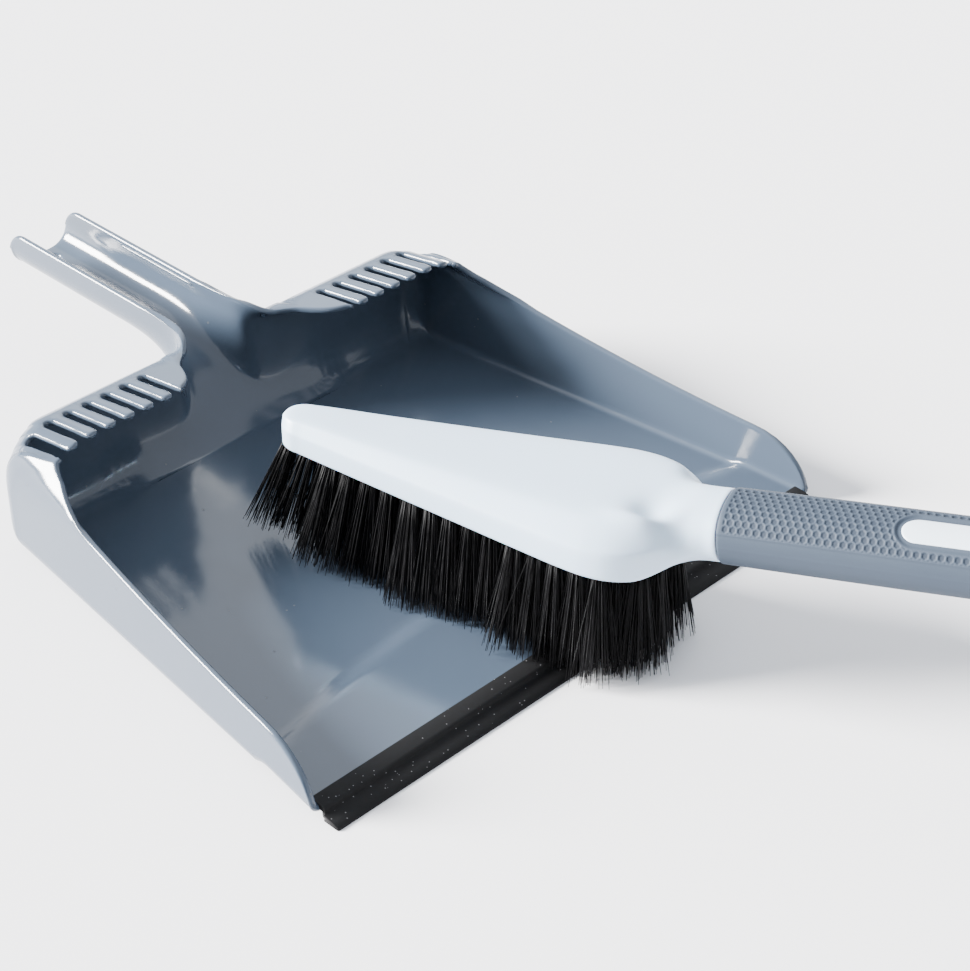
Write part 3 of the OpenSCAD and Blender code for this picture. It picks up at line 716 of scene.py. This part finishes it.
walls = [from_handle(hl, ht, hole_z * z) for z in (-0.5, 0.0, 0.5)]
loop = walls + cap_side(1) + cap_side(-1)[::-1][1:]
cap_pts = np.vstack(loop)
q, last_ring = np.arange(N_CAP), (len(loop) - 1) * N_CAP
q2 = np.roll(q, -1)
close_loop = np.stack([last_ring + q, last_ring + q2, q2, q], -1)
cap_faces = np.vstack([grid_faces(len(loop), N_CAP, wrap=True), close_loop])
print("cap rings", len(loop))

# %% [markdown]
# Bristles: every tuft is a bundle of thin stiff filaments pushed into one hole. A filament starts at a
# place inside its hole, leans out a little more the further it starts from the hole's middle, and bends
# slightly along its length. All filaments of a row are one array: filaments by rings by corners. The
# tufts stand where the solid part's tufts stand, and lean forward at the nose.

# %% Bristles
ROWS, T_PITCH, R_PITCH = 7, 8.0, 7.5
HEAD_ANGLE = 0.1887  # how far the head's side turns from its middle line, in radians
FULL_S = 120  # where the head stops widening

def tuft_places(k_row):
    """Holes every 8 mm, every other row half a step on, kept where they fit inside the head's outline."""
    t = (k_row - 4) * R_PITCH
    s = -4 + T_PITCH * (np.arange(19) + (0 if k_row % 2 == 0 else 0.5))
    in_taper = abs(t) <= NOSE_R / math.cos(HEAD_ANGLE) + s * math.tan(HEAD_ANGLE) - 4.6
    ok = np.where(s < FULL_S, in_taper, np.hypot(s - FULL_S, t) <= 32 - 5.2)
    return s[ok], np.full(ok.sum(), t)

def ground(y):
    """Lowest height for a tip: the pan's floor, the ramp and lip, or the table."""
    return np.where(y > 66, 3.3, np.where(y > 16, 5.4, np.where(y > 0, 5.2, 0.4)))

def bristle_row(k_row, per=100, sides=3, rings=5):
    """Filament = root + direction * length + bend * (fraction squared); corners turn round its own line."""
    s0, t0 = tuft_places(k_row)
    n = len(s0) * per
    s0, t0 = np.repeat(s0, per), np.repeat(t0, per)
    rad = 2.9 * np.sqrt(rng.random(n))
    th = rng.random(n) * 2 * np.pi
    ds, dt_ = rad * np.cos(th), rad * np.sin(th)
    lean_s = -math.radians(24) * np.maximum(0, 1 - (s0 + 4) / 70) ** 1.5
    lean_t = math.radians(7) * t0 / (3 * R_PITCH)
    heel = np.maximum(0, (s0 - FULL_S) / 32)
    lean_s = lean_s + math.radians(3.5) * heel
    spread = math.radians(2.7)
    a_s = np.tan(lean_s) + spread * ds * 0.9 + rng.normal(0, 0.022, n)
    a_t = np.tan(lean_t) + spread * dt_ * 0.9 + rng.normal(0, 0.022, n)
    stray = rng.random(n) < 0.03
    a_s += stray * rng.normal(0, 0.10, n)
    a_t += stray * rng.normal(0, 0.10, n)
    a_s += rng.normal(0, 0.02, n // per).repeat(per)  # a whole tuft tilts a little
    bend_s, bend_t = rng.normal(0, 0.6, n), rng.normal(0, 0.6, n)
    s0 = s0 + 3.0
    length = 46.5 - 6.5 * np.maximum(0, 1 - (s0 + 4) / 60)  # shorter at the nose
    length = length + rng.normal(0, 0.7, n) - 2.5 * (rng.random(n) ** 4)
    f = np.linspace(0, 1, rings)[None]
    down_ = 1 / np.sqrt(1 + a_s ** 2 + a_t ** 2)
    L_ = length * down_
    tip_y = from_brush(s0 + ds + a_s * L_ + bend_s, t0 + dt_ + a_t * L_ + bend_t, 0 * s0)[:, 1]
    L_ = np.minimum(L_, HEAD_Z - ground(tip_y) - 0.5 * rng.random(n))
    s = (s0 + ds)[:, None] + a_s[:, None] * L_[:, None] * f + bend_s[:, None] * f ** 2
    t = (t0 + dt_)[:, None] + a_t[:, None] * L_[:, None] * f + bend_t[:, None] * f ** 2
    z = 1.5 + nose_lift(s0)[:, None] * (1 - f) - (L_ + 1.5)[:, None] * f
    r_ = (0.20 + 0.04 * rng.random(n))[:, None] * np.r_[1, 1, 0.97, 0.9, 0.55][None]
    c = (np.arange(sides) * 2 * np.pi / sides)[None, None] + (rng.random(n) * 6.28)[:, None, None]
    s, t = s[..., None] + r_[..., None] * np.cos(c), t[..., None] + r_[..., None] * np.sin(c)
    z = np.repeat(z[..., None], sides, 2)
    pts = from_brush(s, t, z).reshape(-1, 3)
    one = grid_faces(rings, sides, wrap=True)[:, ::-1]
    per_f = rings * sides
    faces = (one[None] + np.arange(n)[:, None, None] * per_f).reshape(-1, 4)
    tip = np.arange(n)[:, None] * per_f + (rings - 1) * sides + np.arange(sides)[None, ::-1]
    root = np.arange(n)[:, None] * per_f + np.arange(sides)[None]
    return pts, [faces, tip, root], n

# %% [markdown]
# Materials are built with nodes, written as sums. A small class stands for a socket: adding or
# multiplying two of them adds the Math node that does it. One method makes every other node.

# %% Node maths as plain expressions
class Sock:
    """A number socket of a material's tree; + - * / and max build Math nodes."""
    def __init__(self, tree, socket):
        self.tree, self.socket = tree, socket
    def _math(self, op, a, b):
        n = self.tree.nodes.new("ShaderNodeMath")
        n.operation = op
        for slot_, v in zip(n.inputs, (a, b)):
            if isinstance(v, Sock):
                self.tree.links.new(v.socket, slot_)
            else:
                slot_.default_value = float(v)
        return Sock(self.tree, n.outputs[0])
    def __add__(self, o): return self._math("ADD", self, o)
    def __radd__(self, o): return self._math("ADD", o, self)
    def __sub__(self, o): return self._math("SUBTRACT", self, o)
    def __rsub__(self, o): return self._math("SUBTRACT", o, self)
    def __mul__(self, o): return self._math("MULTIPLY", self, o)
    def __rmul__(self, o): return self._math("MULTIPLY", o, self)
    def clamp(self): return self._math("MAXIMUM", self._math("MINIMUM", self, 1.0), 0.0)

class Finish:
    """A material: node() adds any node, set() gives the Principled shader its numbers and links."""
    def __init__(self, name):
        self.mat = bpy.data.materials.new(name)
        self.mat.use_nodes = True
        self.tree = self.mat.node_tree
        self.shader = self.tree.nodes["Principled BSDF"]
        self.place = self.node("ShaderNodeTexCoord", {}, {}, "Object")
    def node(self, kind, settings, inputs, output=0):
        n = self.tree.nodes.new(kind)
        for key, v in settings.items():
            setattr(n, key, v)
        for key, v in inputs.items():
            self.feed(n.inputs[key], v)
        return Sock(self.tree, n.outputs[output])
    def feed(self, slot_, v):
        if isinstance(v, Sock):
            self.tree.links.new(v.socket, slot_)
        else:
            slot_.default_value = v
    def set(self, **values):
        for key, v in values.items():
            self.feed(self.shader.inputs[key.replace("_", " ")], v)
    def noise(self, scale, detail=2.0, rough=0.5):
        return self.node("ShaderNodeTexNoise", {},
                         {"Vector": self.place, "Scale": scale, "Detail": detail, "Roughness": rough})
    def mix(self, factor, a, b):
        a, b = (c if isinstance(c, Sock) else (*c, 1.0) for c in (a, b))
        return self.node("ShaderNodeMix", {"data_type": "RGBA"}, {0: factor, 6: a, 7: b}, 2)
    def bump(self, height, strength, distance):
        inputs = {"Height": height, "Strength": strength, "Distance": distance}
        self.set(Normal=self.node("ShaderNodeBump", {}, inputs))
    def specks(self, scale, size, keep):
        """Small dots: near a Voronoi cell's middle, and only in the cells a random number picks."""
        distance = self.node("ShaderNodeTexVoronoi", {}, {"Vector": self.place, "Scale": scale}, "Distance")
        colour = Sock(self.tree, distance.socket.node.outputs["Color"])
        chance = self.node("ShaderNodeSeparateColor", {}, {0: colour})
        return self.below(distance, size) * self.below(chance, keep)
    def below(self, value, limit):
        return self.node("ShaderNodeMath", {"operation": "LESS_THAN"}, {0: value, 1: limit})

# %% [markdown]
# The pan is a glossy injection moulding: one colour all through, a clear shine, a very slight waviness
# from cooling, fine scuffs that dull the shine here and there and a few specks of dust.

# %% Pan plastic
pan_mat = Finish("pan_gloss_plastic")
cloud = pan_mat.noise(9.0, 3.0)
scuff = pan_mat.noise(90.0, 6.0, 0.75)
base = pan_mat.mix(cloud, (0.050, 0.069, 0.098), (0.057, 0.077, 0.108))
dust = pan_mat.specks(260.0, 0.13, 0.03)
base = pan_mat.mix(dust * 0.75, base, (0.05, 0.06, 0.075))
pan_mat.set(Base_Color=base, Roughness=0.10 + 0.14 * (scuff * scuff * 1.6).clamp() + 0.3 * dust, IOR=1.5)
pan_mat.bump(pan_mat.noise(34.0, 1.0), 0.05, 0.004)

# %% [markdown]
# The lip is soft black rubber. It is matt and picks up dust, which shows as pale grains.

# %% Lip rubber
lip_mat = Finish("lip_soft_rubber")
grain = lip_mat.specks(900.0, 0.22, 0.10) + lip_mat.specks(420.0, 0.12, 0.05)
smear = lip_mat.noise(60.0, 4.0)
black = lip_mat.mix((smear * 1.2 - 0.35).clamp() * 0.35, (0.002, 0.002, 0.0025), (0.005, 0.0055, 0.006))
lip_mat.set(Base_Color=lip_mat.mix((grain * 0.55).clamp(), black, (0.22, 0.22, 0.23)),
            Roughness=0.6 + 0.2 * smear, Specular_IOR_Level=0.25)
lip_mat.bump(lip_mat.noise(700.0, 3.0), 0.12, 0.0004)

# %% [markdown]
# The head is a pale satin plastic. Light sinks in a little before it comes out again, so its shadows are
# soft and bluish. A fine spark-eroded texture dulls its shine.

# %% Head plastic
head_mat = Finish("head_pale_satin")
tone = head_mat.noise(16.0, 2.0)
head_mat.set(Base_Color=head_mat.mix(tone, (0.47, 0.60, 0.74), (0.50, 0.63, 0.765)),
             Roughness=0.34 + 0.08 * tone, IOR=1.48, Subsurface_Weight=0.12, Subsurface_Scale=0.004)
head_mat.bump(head_mat.noise(1500.0, 2.0), 0.05, 0.0002)

# %% [markdown]
# The grip is a dense rubber, matt. Its dimples are painted darker than the raised net between them: painted
# shade in the hollows.

# %% Grip rubber and badge
grip_mat = Finish("grip_matt_rubber")
g_tone = grip_mat.noise(40.0, 4.0)
# the dimple mask from the grip's points; the mix below uses it to paint shade into the dimples
cell = grip_mat.node("ShaderNodeAttribute", {"attribute_name": "dimple_shade"}, {}, 2)
skin_g = grip_mat.mix(g_tone, (0.036, 0.049, 0.070), (0.044, 0.058, 0.080))
grip_mat.set(Base_Color=grip_mat.mix(cell * 0.75, skin_g, (0.020, 0.028, 0.042)),
             Roughness=0.56 + 0.12 * g_tone, Specular_IOR_Level=0.16)
grip_mat.bump(grip_mat.noise(900.0, 2.0), 0.10, 0.0003)
badge_mat = Finish("badge_pale_plastic")
badge_mat.set(Base_Color=badge_mat.mix(badge_mat.noise(60.0, 2.0), (0.60, 0.69, 0.78), (0.64, 0.73, 0.81)),
              Roughness=0.3 + 0.05 * badge_mat.noise(200.0, 2.0))

# %% [markdown]
# Bristles are black plastic filament. Each one is a little glossy, and some are greyer than others; the
# noise runs fast across the head and slowly down a bristle, so that it tells neighbours apart.

# %% Bristle filament
bristle_mat = Finish("bristle_filament")
stretch = bristle_mat.node("ShaderNodeMapping", {}, {"Vector": bristle_mat.place, "Scale": (1.0, 1.0, 0.05)})
vary = bristle_mat.node("ShaderNodeTexNoise", {}, {"Vector": stretch, "Scale": 1400.0, "Detail": 1.0})
filament = bristle_mat.mix((vary * 2.2 - 0.7).clamp(), (0.001, 0.001, 0.0013), (0.007, 0.007, 0.008))
bristle_mat.set(Base_Color=filament, Roughness=0.42 + 0.2 * vary, Specular_IOR_Level=0.12)

# %% [markdown]
# The staples that hold the tufts are flat bright wire, deep inside the holes.

# %% Anchor wire
wire_mat = Finish("anchor_flat_wire")
wire_mat.set(Base_Color=wire_mat.mix(wire_mat.noise(300.0), (0.55, 0.55, 0.56), (0.63, 0.63, 0.64)),
             Roughness=0.3 + 0.1 * wire_mat.noise(500.0), Metallic=1.0)

# %% [markdown]
# Now the pieces. The pan first: its surface was worked out above and only needs its object.

# %% Pan
pan = add_piece("pan_body", pan_pts, pan_faces, "pan", pan_mat.mat)
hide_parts("pan_shell")
# a thin snap ridge inside each rail, which clips on to the brush's handle
N_ALONG, N_ROUND = 41, 12
rq, ra = np.linspace(-1, 1, N_ALONG), np.linspace(0, 2 * np.pi, N_ROUND + 1)[:-1]
thick = np.sqrt(np.maximum(1 - rq ** 8, 0.0004))
for side_name, sgn in (("right", 1), ("left", -1)):
    ridge = np.stack([sgn * (RAIL_X - T - 0.05) + 0.55 * thick[:, None] * np.cos(ra),
                      269.5 + 24.5 * rq[:, None] + 0 * ra, 50.3 + 0.65 * thick[:, None] * np.sin(ra)], -1)
    add_piece("snap_ridge_" + side_name, ridge.reshape(-1, 3), bar_faces(N_ALONG, N_ROUND), "pan",
              pan_mat.mat)
print("pan triangles", 2 * len(pan_faces))

# %% [markdown]
# The lip is one profile carried across the pan: a thin blade in front that drags on the ground, a step,
# and a strap that grips the pan's edge. The strap stops between the walls and the blade runs on in front
# of their feet, so the profile's back part shrinks at the ends.

# %% Lip
lip_profile = [[0.0, 0.10], [0.05, 0.55], [0.35, 0.95], [3.5, 1.7], [7.0, 2.4], [7.5, 2.6], [7.75, 3.1],
               [7.9, 3.9], [8.3, 4.3], [9.2, 4.55], [12.0, 4.85], [14.6, 5.0], [15.1, 4.9], [15.4, 4.6],
               [15.5, 4.1], [15.5, 3.4], [9.3, 3.05], [9.2, 0.9], [9.0, 0.05], [4.0, 0.0], [0.6, 0.0]]
lip_y, lip_z = np.array(lip_profile).T
lx = np.r_[-130.0, -129.6, -129.2, -128.9, np.linspace(-128.8, 128.8, 120), 128.9, 129.2, 129.6, 130.0]
sink = np.interp(np.abs(lx), [128.9, 129.2, 130.0], [1, 0.0, 0.0])[:, None]
py = np.where(lip_y > 7.6, 7.6 + (lip_y - 7.6) * sink, lip_y)
pz = np.where(lip_y > 7.2, np.minimum(lip_z, 2.5 + (lip_z - 2.5) * sink), lip_z)
round_end = np.interp(np.abs(lx), [129.2, 129.6, 130.0], [1, 0.97, 0.9])[:, None]
py = 0.5 * (1 - round_end) * 8 + py * round_end
lip_grid = np.stack([np.repeat(lx[:, None], len(lip_y), 1), py, pz], -1)
lip_faces = bar_faces(len(lx), len(lip_y))
lip = add_piece("lip_blade", lip_grid.reshape(-1, 3), lip_faces, "pan", lip_mat.mat)
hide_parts("lip")
print("lip", lip_grid.shape, "points across, round and in space")

# %% [markdown]
# The brush's pieces ride on the brush, so they lift off together.

# %% Head, grip, badge and cap
head = add_piece("brush_head_skin", head_pts, head_faces, "brush", head_mat.mat)
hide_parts("brush_head")
grip = add_piece("grip_honeycomb", grip_pts, grip_faces, "brush", grip_mat.mat)
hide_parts("grip_sleeve")
# dimple mask on the grip's points: the grip's material darkens the dimples with it, as painted shade in the
# hollows
dimple_shade = grip.data.attributes.new("dimple_shade", "FLOAT", "POINT")
dimple_shade.data.foreach_set("value", np.r_[np.zeros(g_cols), net.ravel(), np.zeros(g_cols)].astype(np.float32))
badge = add_piece("badge_plate", badge_pts, badge_faces, "brush", badge_mat.mat)
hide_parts("grip_badge")
cap = add_piece("end_cap_skin", cap_pts, cap_faces, "brush", head_mat.mat)
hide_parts("end_cap")
total_f = 0
for k_row in range(1, ROWS + 1):
    pts, faces, n = bristle_row(k_row)
    o = add_piece(f"bristles_{k_row}", pts, faces, "brush", bristle_mat.mat)
    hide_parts(f"tuft_row_{k_row}")
    total_f += n
print("filaments", total_f)
for name, o in frame["nodes"].items():
    if name.startswith("anchor"):
        o.data.materials.clear()
        o.data.materials.append(wire_mat.mat)

# faces of the closed skins must point outwards
def outward(o):
    """Turn the whole skin when its signed volume is negative."""
    bm = bmesh.new()
    bm.from_mesh(o.data)
    vol = bm.calc_volume(signed=True)
    if vol < 0:
        bmesh.ops.reverse_faces(bm, faces=bm.faces)
        bm.to_mesh(o.data)
    bm.free()
    print(o.name, "volume", round(vol * 1e6, 1), "ml")

for o in [pan, lip, head, grip, badge, cap] + [bpy.data.objects[f"bristles_{k}"] for k in range(1, ROWS + 1)]:
    outward(o)

# %% [markdown]
# The stage: a pale seamless floor, a low soft sun from behind on the left as from a window, and a white
# panel behind on the right for the gloss to mirror. The camera looks down at the pan from its front left.

# %% Stage, lights and camera
scene = bpy.context.scene
floor_mat = Finish("studio_floor")
floor_mat.set(Base_Color=(0.90, 0.90, 0.915, 1), Roughness=0.7)

def stage_sheet(name, corners, material):
    """A flat sheet of the stage from its four corners in millimetres."""
    face = np.array([[0, 1, 2, 3]])
    add_piece(name, np.array(corners, float), face, None, material, smooth=False)

FAR, BELOW = 3000, -0.02
stage_sheet("studio_floor", [[-FAR, -FAR, BELOW], [FAR, -FAR, BELOW], [FAR, FAR, BELOW], [-FAR, FAR, BELOW]],
            floor_mat.mat)

# a dark card behind the camera keeps the light off the near sides
card_mat = Finish("dark_card")
card_mat.set(Base_Color=(0.02, 0.02, 0.022, 1), Roughness=0.9)
stage_sheet("dark_card", [[-3200, -600, 0], [-600, -3200, 0], [-600, -3200, 2000], [-3200, -600, 2000]],
            card_mat.mat)

def aim(name, data, place, direction):
    """An object for a light or camera, put at a place and looking in a direction."""
    o = bpy.data.objects.new(name, data)
    scene.collection.objects.link(o)
    o.location = place
    o.rotation_euler = Vector(direction).to_track_quat("-Z", "Y").to_euler()
    return o

sun = bpy.data.lights.new("window_sun", "SUN")
sun.energy, sun.angle, sun.color = 30.0, math.radians(24), (1.0, 0.985, 0.97)
aim("window_sun", sun, (0, 0, 0), (0.60, -0.72, -0.36))
panel = bpy.data.lights.new("panel_back", "AREA")
panel.energy, panel.size, panel.color = 11.0, 1.6, (0.92, 0.96, 1.0)
aim("panel_back", panel, (1.1, 1.1, 1.15), (-1.1, -1.1, -1.15))
world = bpy.data.worlds.new("studio")
scene.world = world
world.use_nodes = True
bg = world.node_tree.nodes["Background"]
bg.inputs[0].default_value, bg.inputs[1].default_value = (0.91, 0.94, 1.0, 1), 1.45

cam_data = bpy.data.cameras.new("camera")
cam_data.sensor_width, cam_data.lens = 36.0, 88.98
scene.camera = aim("camera", cam_data, (-0.5129, -0.5605, 0.5523), (0.5806, 0.5787, -0.5726))
